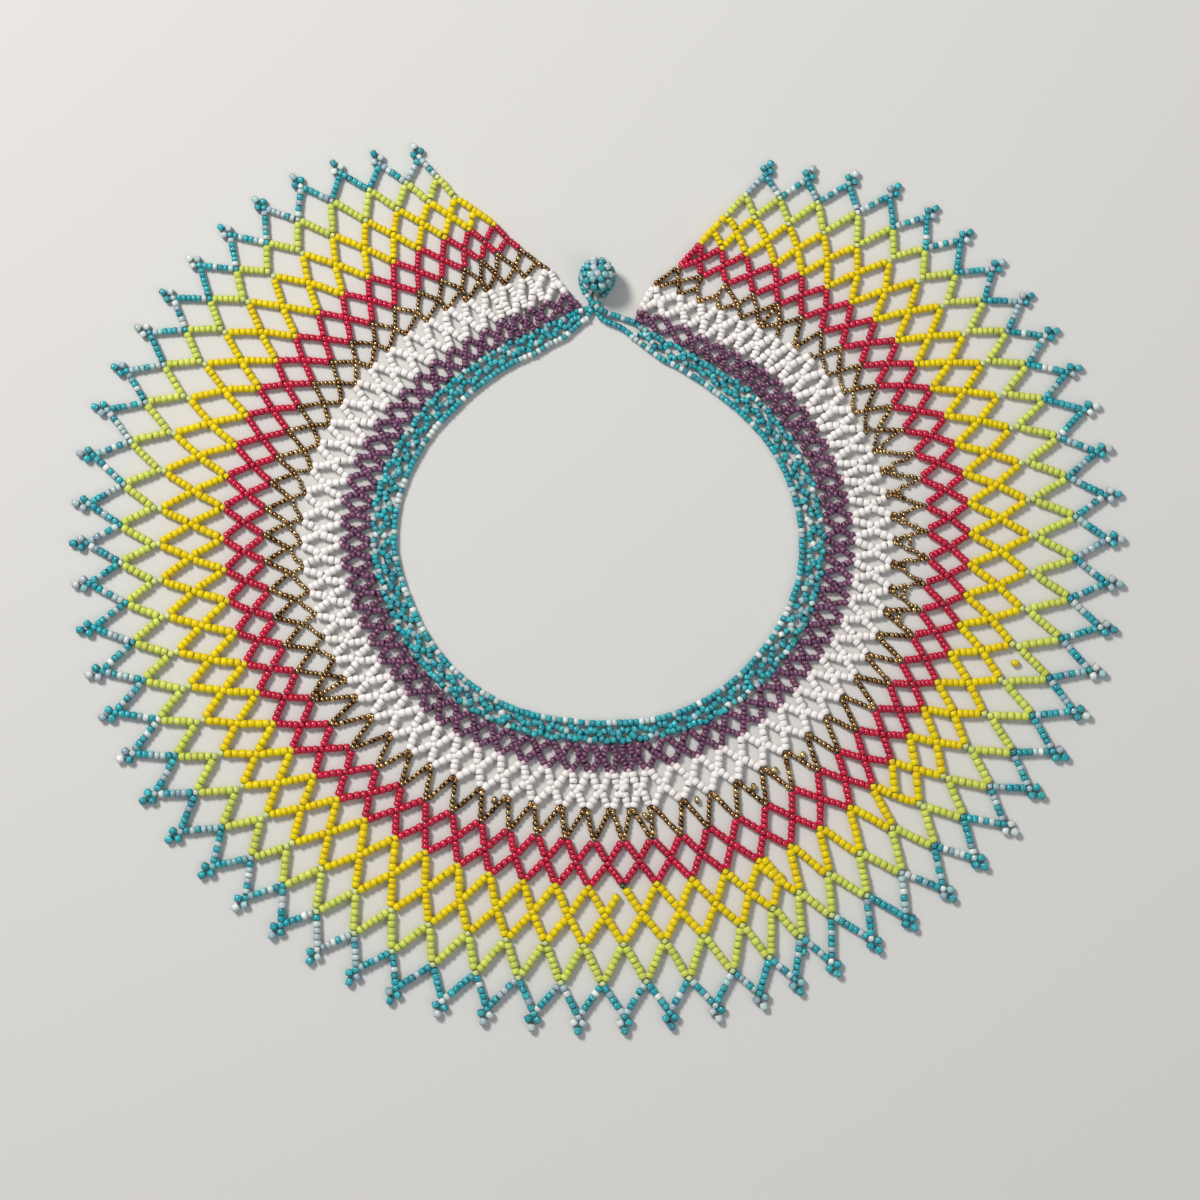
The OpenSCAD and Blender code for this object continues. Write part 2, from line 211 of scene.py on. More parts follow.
# Column from which the left crossings lie a little farther out
FARTHER_OUT_FROM = 53
# How much of a right crossing's angle, and of its way in, follows the white edge
WHITE_SHARE = 0.64
# Columns of the short loose ends
LOOSE_END_COLUMNS = range(14, 21)

# Places of single beads, in millimetres from the middle of the neck
BRIGHT_BITS = ((13.5, -85.8), (46.1, -77.1), (52.2, -72.0), (60.9, -67.5), (-31.8, -81.0), (29.1, -81.0))
LOOSE_YELLOW = Vector((124.5, -39.9))
STRAY_POINT = Vector((61.2, -126.6))
# Ends of the spare white strand: radius, angle
SPARE_WHITE = ((79.6, 175.3), (74.6, 174.6))
# Column of the knot in the crimson edge that has the dark green bead and the torn strand
TORN_COLUMN = 31

# Ways of the rim string and the outer chain on to the fastening, in millimetres from the middle of the neck
RIM_STEM = ((-3.6, 64.5), (-2.7, 65.9))
CHAIN_STEM = ((-4.6, 66.4), (-2.8, 66.9))
# The chains beside the rim: share of the way out from the rim, and the share by which they wave
INNER_CHAIN, OUTER_CHAIN = (0.42, -0.16), (0.84, 0.07)

# The beads of a picot: across, outwards, length
PICOT_BEADS = ((-1.4, 1.7, 2.2), (1.4, 1.7, 2.2), (0.0, 4.1, 2.5))
# How far the sine of a column's angle, so how far to the side it is, decides what its knots are made of
LIME_KNOT_BELOW, LONG_KNOT_ABOVE = 0.6, 0.7

# The loop's route from the right end and back, in millimetres from the middle of the neck
LOOP_ROUTE = (
    (9.5, 58.3, 1.1), (7.0, 60.3, 1.1), (4.3, 61.7, 1.1), (1.4, 62.8, 1.1), (-0.5, 64.8, 1.1),
    (-0.9, 67.2, 1.1), (0.4, 69.5, 1.1), (2.0, 71.5, 1.1), (3.5, 73.8, 1.1), (4.0, 76.2, 1.1),
    (2.8, 78.6, 1.1), (0.9, 80.0, 1.1), (-2.4, 80.0, 1.1), (-4.3, 78.6, 1.1), (-5.6, 76.2, 1.1),
    (-5.5, 74.2, 1.1), (-4.8, 72.0, 1.3), (-3.9, 70.3, 2.0), (-2.7, 68.6, 2.9), (-1.4, 67.1, 3.6),
    (0.3, 66.0, 3.2), (2.2, 65.1, 1.9), (4.4, 64.4, 1.2), (7.0, 63.5, 1.1), (9.8, 62.5, 1.1),
)
BALL_CENTRE = Vector((-0.8, 76.2, 6.5))
# Radius on which the ball's beads lie, and its rings of beads: degrees down from the top, how many
BALL_RADIUS = 4.2
BALL_RINGS = ((0, 1), (29, 6), (57, 10), (85, 12), (113, 11), (141, 7), (169, 3))

# A bead's ends sink to its hole. Height of an end at the hole and how much higher its edge is, as shares of the
# length, and the power by which the rings of its side crowd to the ends
HOLE_HEIGHT, EDGE_RISE, RING_POWER = 0.34, 0.16, 0.62

# Outputs by number: an attribute's factor, and the object's own coordinates
FACTOR, OBJECT_PLACE = 2, 3
# Scales of the noise: pale flecks of painted sheen on the glass, its fine grain, and a thread's strands
PAINTED_SHEEN_SCALE, GRAIN_SCALE, STRAND_SCALE = 1300.0, 2600.0, 1800.0

# Half the floor's side, and the camera's place, in metres
FLOOR_HALF = 2.5
CAMERA_PLACE = (0.0007, -0.0036, 1.201)
# The lights: name, place, size, power, colour
LIGHTS = (
    ("key light", (-0.75, 0.85, 1.15), 0.35, 23.0, (1.0, 0.98, 0.95)),
    ("fill light", (0.9, -0.5, 1.2), 1.2, 4.0, (0.95, 0.97, 1.0)),
)


def linear(red, green, blue):
    """A screen colour of 0 to 255 as the linear colour that Blender mixes."""
    shares = (c / 255 for c in (red, green, blue))
    return tuple(s / 12.92 if s <= 10 / 255 else ((s + 0.055) / 1.055) ** 2.4 for s in shares)


def between(table, place, column):
    """The value of one column of a table at a place between its rows."""
    if place <= table[0][0]:
        return table[0][column]
    for low, high in zip(table, table[1:]):
        if place <= high[0]:
            share = (place - low[0]) / (high[0] - low[0])
            return low[column] + share * (high[column] - low[column])
    return table[-1][column]


def section(name, angle):
    return between(SECTIONS, angle, SECTION_COLUMNS.index(name))


def row_radius(row, angle):
    if row in ROW_SECTIONS:
        return section(ROW_SECTIONS[row], angle)
    return (row_radius(row - 1, angle) + row_radius(row + 1, angle)) / 2


def row_angle(row, column):
    if row >= WHITE:
        stops = tuple((WHITE + 2 * k, between(INNER_COLUMNS, column, k + 1)) for k in range(2))
    else:
        stops = tuple(
            (r, between(OUTER_COLUMNS, column, k + 1)) for k, r in enumerate((FOOT, YELLOW, CRIMSON, BRONZE))
        )
    return between(stops, row, 1)


def row_columns(row):
    """First and last column of a row of knots."""
    if row >= WHITE:
        return (row % 2) / 2, INNER_LAST + (row - WHITE) / 2
    return (1 - row / 2 if row <= CRIMSON else -1 + (row % 2) / 2), POINTS + row / 2


def columns_of(row):
    first, last = row_columns(row)
    return [first + k for k in range(int(last - first) + 1)]


def outwards(angle):
    return Vector((math.sin(math.radians(angle)), math.cos(math.radians(angle))))


def clockwise(angle):
    return Vector((math.cos(math.radians(angle)), -math.sin(math.radians(angle))))


def at(radius, angle):
    return NECK + radius * outwards(angle)


def heading(way):
    return math.atan2(way.y, way.x)


def graded(place):
    """How large the beads are at a place: they grow smaller towards the back."""
    share = (place[1] - NECK.y - FADE_FROM) / (FADE_TO - FADE_FROM)
    return 1.0 - BACK_FADE * min(max(share, 0.0), 1.0)


class Knot:
    """A place where strands meet, in the millimetres of the frame, with a little of the hand in it."""

    def __init__(self, angle, radius, name, slack=0.22):
        hand = random.Random(name)
        self.angle = angle
        self.place = at(radius, angle)
        self.place += Vector((hand.uniform(-slack, slack), hand.uniform(-slack, slack)))


@functools.lru_cache(None)
def knot(row, column):
    first, last = row_columns(row)
    if first - 0.1 <= column <= last + 0.1:
        angle = row_angle(row, column)
        return Knot(angle, row_radius(row, angle), f"{row} {column:.1f}")
    return None


# Runs of thread in millimetres, gathered while the beads are strung
THREAD_RUNS = []


class Beads:
    """The places of a piece's beads, in millimetres, before one is set on each."""

    def __init__(self, width, length, seed, pale=0.0, palest=(0.5, 1.0), fade=1.0):
        self.width = width
        self.length = length
        self.pale = pale
        self.palest = palest
        self.fade = fade
        self.hand = random.Random(seed)
        self.places = []
        self.axes = []
        self.sizes = []
        self.marks = []
        self.tones = []

    def wide(self, place, width=None):
        """The width of a bead at a place."""
        return (width or self.width) * graded(place) ** self.fade

    def add(self, place, axis, width=None, length=None, mark=None, lift=0.0):
        """One bead: it lies on the surface unless its place has a height of its own."""
        width = self.wide(place, width)
        length = length or self.length * graded(place)
        if len(place) == 2:
            place = (place[0], place[1], REST_HEIGHT * width + lift + self.hand.uniform(0.0, HEIGHT_SPREAD))
        if len(axis) == 2:
            axis = (axis[0], axis[1], 0.0)
        if mark is None:
            mark = self.hand.uniform(*(self.palest if self.hand.random() < self.pale else (0.0, 0.05)))
        self.places.append(Vector(place))
        self.axes.append(Vector(axis).normalized())
        self.sizes.append((width, width, length))
        self.marks.append(mark)
        self.tones.append(self.hand.random())

    def strand(self, start, end, count=0, loose=0.07, lost=0, **look):
        """Beads side by side from start to end, both included, and the thread through them.

        Without a count they are as many as fit, and with one they are fewer on a strand too short for it. The
        last ones, as many as are lost, are left out with their thread.
        """
        run = end - start
        own_length = self.length * graded((start + end) / 2)
        gaps = max(round(run.length / own_length), 1)
        if count:
            gaps = min(count - 1, max(int(run.length / (LEAST_PACE * own_length)), 1))
        way = run.normalized()
        side = Vector((-way.y, way.x))
        torn = start + run * ((gaps - lost) / gaps)
        past = way * own_length * THREAD_PAST
        THREAD_RUNS.append((start - past, torn + past))
        length = min(run.length / gaps, own_length * MOST_PACE)
        for k in range(gaps + 1 - lost):
            place = start + run * (k / gaps) + side * self.hand.uniform(-loose, loose)
            self.add(place, way, length=length * self.hand.uniform(*BEAD_IN_PACE), **look)

    def net(self, legs, reach, **look):
        """The strands between pairs of knots, outer and inner.

        A strand's first and last beads lie at its reach from the knots, and side by side with a neighbour's.
        """
        for outer, inner in legs:
            room = (inner.place - outer.place).length
            own_reach = reach * graded(outer.place)
            own_reach *= min(1.0, room / (2 * own_reach + STRAND_ROOM * self.length))
            start = self.beside(outer, inner, [pair[1] for pair in legs if pair[0] is outer], own_reach)
            end = self.beside(inner, outer, [pair[0] for pair in legs if pair[1] is inner], own_reach)
            self.strand(start, end, **look)

    def beside(self, here, there, neighbours, reach):
        """Where the first bead lies on the way to another knot, turned aside from a neighbour too near."""
        way = there.place - here.place
        least = 2 * math.asin(min(MOST_SIDEWAYS, SIDE_BY_SIDE * self.wide(here.place) / reach))
        turn = 0.0
        for other in neighbours:
            if other is not there:
                gap = heading(other.place - here.place) - heading(way)
                gap = (gap + math.pi) % (2 * math.pi) - math.pi
                if abs(gap) < least:
                    turn -= math.copysign((least - abs(gap)) / 2, gap)
        course = heading(way) + turn
        return here.place + reach * Vector((math.cos(course), math.sin(course)))

    def line(self, line, pace, loose):
        """Beads along a line of points, a little loose on it, and the thread through them."""
        for place, way in paced(line, pace):
            stray = Vector([self.hand.uniform(-loose, loose) for _ in range(2)] + [0.0] * (len(place) - 2))
            self.add(place + stray, way, length=pace * graded(place) * self.hand.uniform(*BEAD_IN_PACE))
        THREAD_RUNS.append(line[::4])

    def bead_at_knot(self, here, width, mark=None, lean=35):
        """The bead that the strands at a knot share, a little smaller than theirs."""
        turn = self.hand.choice((-lean, lean)) + self.hand.uniform(-12, 12)
        length = width * KNOT_BEAD_LENGTH * graded(here.place)
        lift = KNOT_LIFT * (self.width - width)
        self.add(here.place, outwards(here.angle + turn), width=width, length=length, mark=mark, lift=lift)


def beads_of(settings, kind, **look):
    """The beads of one kind, of the width and length in the settings."""
    width, length = (getattr(settings, f"{kind}_{side}") / MM for side in ("width", "length"))
    return Beads(width, length, **look)


def catmull(route, steps=12):
    """A smooth line through a route's points."""
    points = [Vector(p) for p in route]
    points = [points[0]] + points + [points[-1]]
    line = []
    for a, b, c, d in zip(points, points[1:], points[2:], points[3:]):
        for k in range(steps):
            t = k / steps
            line.append(0.5 * (2 * b + (c - a) * t + (2 * a - 5 * b + 4 * c - d) * t * t
                               + (3 * b - a - 3 * c + d) * t * t * t))
    return line + [points[-1]]


def paced(line, pace):
    """Places and directions along a line, about one pace of the beads' size apart, in a whole number."""
    lengths = [0.0]
    for a, b in zip(line, line[1:]):
        lengths.append(lengths[-1] + (b - a).length / graded(a))
    count = round(lengths[-1] / pace)
    found = []
    k = 0
    for i in range(count + 1):
        wanted = lengths[-1] * i / count
        while k < len(line) - 2 and lengths[k + 1] < wanted:
            k += 1
        share = (wanted - lengths[k]) / (lengths[k + 1] - lengths[k])
        found.append((line[k].lerp(line[k + 1], share), (line[k + 1] - line[k]).normalized()))
    return found


class Socket:
    """A node's output that takes part in sums as a number does."""

    def __init__(self, nodes, socket):
        self.nodes = nodes
        self.socket = socket

    def _math(self, operation, *values):
        node = self.nodes.make("ShaderNodeMath", {"operation": operation}, dict(enumerate(values)))
        return Socket(self.nodes, node.outputs[0])

    def __add__(self, other):
        return self._math("ADD", self, other)

    def __sub__(self, other):
        return self._math("SUBTRACT", self, other)

    def __rsub__(self, other):
        return self._math("SUBTRACT", other, self)

    def __mul__(self, other):
        return self._math("MULTIPLY", self, other)

    def __pow__(self, other):
        return self._math("POWER", self, other)

    def __abs__(self):
        return self._math("ABSOLUTE", self)

    __radd__ = __add__
    __rmul__ = __mul__

    def sign(self):
        return self._math("SIGN", self)

    def clamped(self):
        return self._math("MINIMUM", self._math("MAXIMUM", self, 0.0), 1.0)


class Nodes:
    """A tree of nodes, and the one way in which its nodes are made."""

    def __init__(self, tree):
        self.tree = tree

    def make(self, kind, settings=None, sockets=None):
        node = self.tree.nodes.new(kind)
        for name, value in (settings or {}).items():
            setattr(node, name, value)
        for name, value in (sockets or {}).items():
            source = value.socket if isinstance(value, Socket) else value
            if isinstance(source, bpy.types.NodeSocket):
                self.tree.links.new(source, node.inputs[name])
            else:
                node.inputs[name].default_value = source
        return node

    def get(self, kind, settings=None, sockets=None, output=0):
        return Socket(self, self.make(kind, settings, sockets).outputs[output])

    def mix(self, first, second, share, blend="MIX"):
        """A colour between two. Inputs 6 and 7 are the Mix node's colours, and output 2 its colour."""
        settings = {"data_type": "RGBA", "blend_type": blend, "clamp_factor": True}
        return self.get("ShaderNodeMix", settings, {0: share, 6: first, 7: second}, output=2)


def tree_with(name, inputs):
    """A new tree of geometry nodes with named inputs, each a name, a socket type and a default."""
    tree = bpy.data.node_groups.new(name, "GeometryNodeTree")
    tree.interface.new_socket("Geometry", in_out="OUTPUT", socket_type="NodeSocketGeometry")
    tree.interface.new_socket("Geometry", in_out="INPUT", socket_type="NodeSocketGeometry")
    for label, kind, default in inputs:
        socket = tree.interface.new_socket(label, in_out="INPUT", socket_type=kind)
        if default is not None:
            socket.default_value = default
    nodes = Nodes(tree)
    given = nodes.make("NodeGroupInput")
    return nodes, {output.name: Socket(nodes, output) for output in given.outputs if output.name}


def bead_tree():
    """Sets a bead on each point of a mesh. The points' axis turns it, and their size scales it."""
    nodes, given = tree_with("Beads on places", (
        ("Sides", "NodeSocketInt", 10),
        ("Rings", "NodeSocketInt", 4),
        ("End width", "NodeSocketFloat", 0.68),
        ("Roundness", "NodeSocketFloat", 2.3),
        ("Tilt", "NodeSocketFloat", 0.1),
        ("Spread", "NodeSocketFloat", 0.05),
        ("Seed", "NodeSocketInt", 7),
        ("Material", "NodeSocketMaterial", None),
    ))
    barrel = nodes.get("GeometryNodeMeshCylinder", {"fill_type": "TRIANGLE_FAN"}, {
        "Vertices": given["Sides"], "Side Segments": given["Rings"], "Radius": 0.5, "Depth": 1.0,
    })
    place = nodes.make("ShaderNodeSeparateXYZ", None, {0: nodes.get("GeometryNodeInputPosition")})
    x, y, z = (Socket(nodes, output) for output in place.outputs)
    toward_end = abs(z) * 2.0
    from_axis = ((x * x + y * y) ** 0.5) * 2.0
    width = 1.0 - (1.0 - given["End width"]) * toward_end ** given["Roundness"]
    height = z.sign() * (toward_end ** RING_POWER) * (HOLE_HEIGHT + EDGE_RISE * from_axis)
    shaped = nodes.get("GeometryNodeSetPosition", None, {
        "Geometry": barrel,
        "Position": nodes.get("ShaderNodeCombineXYZ", None, {0: x * width, 1: y * width, 2: height}),
    })
    # How near each point is to the bead's ends and hole: the materials darken it there as painted shade between
    # beads
    bead = nodes.get("GeometryNodeStoreNamedAttribute", {"data_type": "FLOAT", "domain": "POINT"}, {
        "Geometry": shaped, "Name": "end", "Value": toward_end * toward_end * (2.0 - from_axis),
    })
    axis = nodes.get("GeometryNodeInputNamedAttribute", {"data_type": "FLOAT_VECTOR"}, {"Name": "axis"})
    size = nodes.get("GeometryNodeInputNamedAttribute", {"data_type": "FLOAT_VECTOR"}, {"Name": "size"})
    tilt = given["Tilt"]
    tilt_low = nodes.get("ShaderNodeCombineXYZ", None, {0: tilt * -1.0, 1: tilt * -1.0, 2: -math.pi})
    tilt_high = nodes.get("ShaderNodeCombineXYZ", None, {0: tilt, 1: tilt, 2: math.pi})
    swing = nodes.get("FunctionNodeRandomValue", {"data_type": "FLOAT_VECTOR"}, {
        "Min": tilt_low, "Max": tilt_high, "Seed": given["Seed"],
    })
    turned = nodes.get("FunctionNodeRotateRotation", {"rotation_space": "LOCAL"}, {
        "Rotation": nodes.get("FunctionNodeAlignRotationToVector", {"axis": "Z"}, {"Vector": axis}),
        "Rotate By": nodes.get("FunctionNodeEulerToRotation", None, {0: swing}),
    })
    spread = given["Spread"]
    low, high = 1.0 - spread, 1.0 + spread
    grown = nodes.get("FunctionNodeRandomValue", {"data_type": "FLOAT_VECTOR"}, {
        "Min": nodes.get("ShaderNodeCombineXYZ", None, {0: low, 1: low, 2: low}),
        "Max": nodes.get("ShaderNodeCombineXYZ", None, {0: high, 1: high, 2: 1.0}),
        "Seed": given["Seed"] + 1.0,
    })
    beads = nodes.get("GeometryNodeInstanceOnPoints", None, {
        "Points": given["Geometry"],
        "Instance": bead,
        "Rotation": turned,
        "Scale": nodes.get("ShaderNodeVectorMath", {"operation": "MULTIPLY"}, {0: size, 1: grown}),
    })
    smooth = nodes.get("GeometryNodeSetShadeSmooth", None, {
        "Geometry": nodes.get("GeometryNodeRealizeInstances", None, {"Geometry": beads}),
    })
    painted = nodes.get("GeometryNodeSetMaterial", None, {"Geometry": smooth, "Material": given["Material"]})
    nodes.make("NodeGroupOutput", None, {"Geometry": painted})
    return nodes.tree


def thread_tree():
    """Makes a round thread of every run of edges."""
    nodes, given = tree_with("Threads on edges", (
        ("Thickness", "NodeSocketFloat", 0.0003),
        ("Sides", "NodeSocketInt", 5),
        ("Material", "NodeSocketMaterial", None),
    ))
    outline = nodes.get("GeometryNodeCurvePrimitiveCircle", None, {
        "Resolution": given["Sides"], "Radius": given["Thickness"] * 0.5,
    })
    tubes = nodes.get("GeometryNodeCurveToMesh", None, {
        "Curve": nodes.get("GeometryNodeMeshToCurve", None, {"Mesh": given["Geometry"]}),
        "Profile Curve": outline,
        "Fill Caps": True,
    })
    smooth = nodes.get("GeometryNodeSetShadeSmooth", None, {
        "Geometry": nodes.get("GeometryNodeRealizeInstances", None, {"Geometry": tubes}),
    })
    painted = nodes.get("GeometryNodeSetMaterial", None, {"Geometry": smooth, "Material": given["Material"]})
    nodes.make("NodeGroupOutput", None, {"Geometry": painted})
    return nodes.tree


def tree(name, maker):
    return bpy.data.node_groups.get(name) or maker()


def grown_piece(name, mesh, node_tree, values):
    """What a tree of nodes grows on a mesh, as a plain piece of its own."""
    scene = bpy.context.scene
    bed = bpy.data.objects.new(name + "_places", mesh)
    scene.collection.objects.link(bed)
    modifier = bed.modifiers.new("Grow", "NODES")
    modifier.node_group = node_tree
    for item in node_tree.interface.items_tree:
        if item.in_out == "INPUT" and item.name in values:
            modifier[item.identifier] = values[item.name]
    depsgraph = bpy.context.evaluated_depsgraph_get()
    plain = bpy.data.meshes.new_from_object(
        bed.evaluated_get(depsgraph), preserve_all_data_layers=True, depsgraph=depsgraph)
    bpy.data.objects.remove(bed)
    bpy.data.meshes.remove(mesh)
    for spare in ("axis", "size"):
        if spare in plain.attributes:
            plain.attributes.remove(plain.attributes[spare])
    if not plain.polygons:
        raise RuntimeError(name + " has no faces")
    piece = bpy.data.objects.new(name, plain)
    scene.collection.objects.link(piece)
    return piece


def beaded_piece(name, beads, material, slot, nodes, **shape):
    """A piece made of beads, which stands for the CAD nodes named."""
    mesh = bpy.data.meshes.new(name + " places")
    mesh.from_pydata([place * MM for place in beads.places], [], [])
    columns = (
        ("axis", "FLOAT_VECTOR", "vector", [c for axis in beads.axes for c in axis]),
        ("size", "FLOAT_VECTOR", "vector", [c * MM for size in beads.sizes for c in size]),
        ("mark", "FLOAT", "value", beads.marks),
        ("tone", "FLOAT", "value", beads.tones),
    )
    for label, kind, field, values in columns:
        mesh.attributes.new(label, kind, "POINT").data.foreach_set(field, values)
    values = {"Material": material}
    values.update(shape)
    piece = grown_piece(name, mesh, tree("Beads on places", bead_tree), values)
    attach(piece, "root")
    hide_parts(*nodes)
    return piece


def bead_material(name, main, other, finish):
    """Opaque glass: each bead has a tone of its own, and painted shade darkens it towards its ends and hole,
    where it meets its neighbours.

    A bead's mark leads from the main colour at 0 to the other at 1, and on to the deep one at 2.
    """
    material = bpy.data.materials.new(name)
    material.use_nodes = True
    nodes = Nodes(material.node_tree)
    shader = material.node_tree.nodes["Principled BSDF"]
    tone = nodes.get("ShaderNodeAttribute", {"attribute_name": "tone"}, output=FACTOR)
    mark = nodes.get("ShaderNodeAttribute", {"attribute_name": "mark"}, output=FACTOR)
    end = nodes.get("ShaderNodeAttribute", {"attribute_name": "end"}, output=FACTOR)
    place = nodes.get("ShaderNodeTexCoord", None, None, output=OBJECT_PLACE)
    cloud = nodes.get("ShaderNodeTexNoise", None, {
        "Vector": place, "Scale": finish.get("cloud", 260.0), "Detail": 2.0,
    })
    own = nodes.mix((*main, 1.0), (*finish.get("drift", main), 1.0), (cloud * 2.4 - 0.7).clamped())
    second = nodes.mix((*other, 1.0), (*finish.get("other_drift", other), 1.0), tone)
    colour = nodes.mix(own, second, mark)
    if "deep" in finish:
        colour = nodes.mix(colour, (*finish["deep"], 1.0), (mark - 1.0).clamped())
    # Pale flecks painted on as the glass's shimmering highlights: a painted sheen
    if "painted_sheen" in finish:
        painted_sheen_spots = nodes.get("ShaderNodeTexNoise", None, {"Vector": place, "Scale": PAINTED_SHEEN_SCALE, "Detail": 1.0})
        colour = nodes.mix(colour, (*finish["painted_sheen"], 1.0), (painted_sheen_spots * 7.0 - 4.1).clamped() * 0.55)
    # Each bead is darker by its own random tone, and by painted shade towards its ends and hole, where
    # neighbouring beads shade each other
    tone_and_painted_shade = 1.0 - finish.get("spread", 0.25) * tone - finish.get("end_shade", 0.45) * (end * end).clamped()
    grey = nodes.get("ShaderNodeCombineColor", None, {0: tone_and_painted_shade, 1: tone_and_painted_shade, 2: tone_and_painted_shade})
    colour = nodes.mix(colour, grey, 1.0, blend="MULTIPLY")
    material.node_tree.links.new(colour.socket, shader.inputs["Base Color"])
    rough = (tone - 0.5) * finish.get("rough_spread", 0.08) + finish["rough"]
    material.node_tree.links.new(rough.socket, shader.inputs["Roughness"])
    shader.inputs["Metallic"].default_value = finish.get("metal", 0.0)
    shader.inputs["IOR"].default_value = 1.5
    shader.inputs["Specular IOR Level"].default_value = finish.get("gloss", 0.3)
    grain = nodes.get("ShaderNodeTexNoise", None, {"Vector": place, "Scale": GRAIN_SCALE, "Detail": 1.0})
    bump = nodes.get("ShaderNodeBump", None, {
        "Height": grain, "Strength": finish.get("grain", 0.15), "Distance": 0.00006,
    })
    material.node_tree.links.new(bump.socket, shader.inputs["Normal"])
    return material


def thread_material():
    """Waxed dark thread, a little paler along its raised strands."""
    found = bpy.data.materials.get("Waxed thread")
    if found:
        return found
    material = bpy.data.materials.new("Waxed thread")
    material.use_nodes = True
    nodes = Nodes(material.node_tree)
    shader = material.node_tree.nodes["Principled BSDF"]
    place = nodes.get("ShaderNodeTexCoord", None, None, output=OBJECT_PLACE)
    strands = nodes.get("ShaderNodeTexNoise", None, {"Vector": place, "Scale": STRAND_SCALE, "Detail": 3.0})
    dark = (*bpy.context.scene.collar.thread_colour, 1.0)
    colour = nodes.mix(dark, (0.11, 0.10, 0.09, 1.0), strands)
    material.node_tree.links.new(colour.socket, shader.inputs["Base Color"])
    shader.inputs["Roughness"].default_value = 0.6
    bump = nodes.get("ShaderNodeBump", None, {"Height": strands, "Strength": 0.4, "Distance": 0.0001})
    material.node_tree.links.new(bump.socket, shader.inputs["Normal"])
    return material


def size(name, description, default):
    """A size in millimetres of the real thing, shown as a length."""
    return bpy.props.FloatProperty(name=name, description=description, default=default * MM, min=0.0002,
                                   max=0.03, precision=5, unit="LENGTH")


def colour(name, description, default):
    return bpy.props.FloatVectorProperty(name=name, description=description, default=linear(*default), size=3,
                                         min=0.0, max=1.0, subtype="COLOR")


class CollarSettings(bpy.types.PropertyGroup):
    rim_width: size("Rim bead width", "Width of the turquoise beads round the neck", 2.1)
    rim_length: size("Rim bead length", "Length of a turquoise bead along its thread", 1.65)
    chain_width: size("Chain bead width", "Width of the turquoise beads beside the rim", 2.1)
    chain_length: size("Chain bead length", "Length of such a bead along its thread", 1.75)
    purple_width: size("Purple bead width", "Width of a purple bead", 2.2)
    purple_length: size("Purple bead length", "Length of a purple bead along its thread", 1.5)
    white_width: size("White bead width", "Width of a white bead", 2.5)
    white_length: size("White bead length", "Length of a white bead along its thread", 1.9)
    bronze_width: size("Bronze bead width", "Width of a bronze bead", 1.8)
    bronze_length: size("Bronze bead length", "Length of a bronze bead along its thread", 1.55)
    crimson_width: size("Crimson bead width", "Width of a crimson bead", 2.45)
    crimson_length: size("Crimson bead length", "Length of a crimson bead along its thread", 1.65)
    yellow_width: size("Yellow bead width", "Width of a yellow bead", 2.6)
    yellow_length: size("Yellow bead length", "Length of a yellow bead along its thread", 1.95)
    lime_width: size("Lime bead width", "Width of a lime bead", 2.6)
    lime_length: size("Lime bead length", "Length of a lime bead along its thread", 1.95)
    point_width: size("Point bead width", "Width of a turquoise bead on the points", 2.4)
    point_length: size("Point bead length", "Length of a turquoise bead on the points", 1.8)
    thread: size("Thread", "Thickness of the thread through the beads", 0.35)
    turquoise_colour: colour("Turquoise", "Colour of most beads at the neck and on the points", (0, 138, 162))
    pearl_colour: colour("Pearl", "Colour of the pale beads among the turquoise ones", (238, 240, 232))
    purple_colour: colour("Purple", "Colour of the purple beads", (134, 82, 116))
    white_colour: colour("White", "Colour of the white beads", (246, 242, 238))
    bronze_colour: colour("Bronze", "Colour of the bronze beads", (214, 172, 116))
    crimson_colour: colour("Crimson", "Colour of the crimson beads", (214, 16, 62))
    yellow_colour: colour("Yellow", "Colour of the yellow beads", (238, 216, 0))
    lime_colour: colour("Lime", "Colour of the lime beads", (216, 224, 98))
    thread_colour: colour("Thread colour", "Colour of the thread", (34, 30, 28))
    floor_colour: colour("Floor", "Colour of the surface that the collar lies on", (214, 212, 208))


def turquoise_material():
    found = bpy.data.materials.get("Turquoise and pearl glass")
    if found:
        return found
    settings = bpy.context.scene.collar
    return bead_material("Turquoise and pearl glass", settings.turquoise_colour, settings.pearl_colour, {
        # The fleck colour is a painted sheen of pale highlights on the turquoise glass
        "drift": linear(28, 190, 192), "other_drift": linear(220, 230, 228), "deep": linear(12, 122, 168),
        "painted_sheen": linear(176, 226, 226), "rough": 0.18, "gloss": 0.5, "spread": 0.28, "end_shade": 0.36,
        "cloud": 380.0,
    })


class PieceOperator:
    """What the operators that make a piece share."""
    bl_options = {"REGISTER", "UNDO"}

    def execute(self, context):
        self.build(context.scene.collar)
        return {"FINISHED"}


class COLLAR_OT_rim(PieceOperator, bpy.types.Operator):
    """The string of turquoise and pale beads round the neck edge"""
    bl_idname = "collar.rim"
    bl_label = "Rim string"

    def build(self, settings):
        beads = beads_of(settings, "rim", seed=13, pale=0.38, palest=(0.6, 1.05))
        line = [at(section("rim", a / 2), a / 2) for a in range(19, 714)]
        line += [NECK + Vector(stem) for stem in RIM_STEM]
        beads.line(line, beads.length, loose=0.08)
        beaded_piece("rim_beads", beads, turquoise_material(), "turquoise_beads", ["rim_strand"], Seed=3)


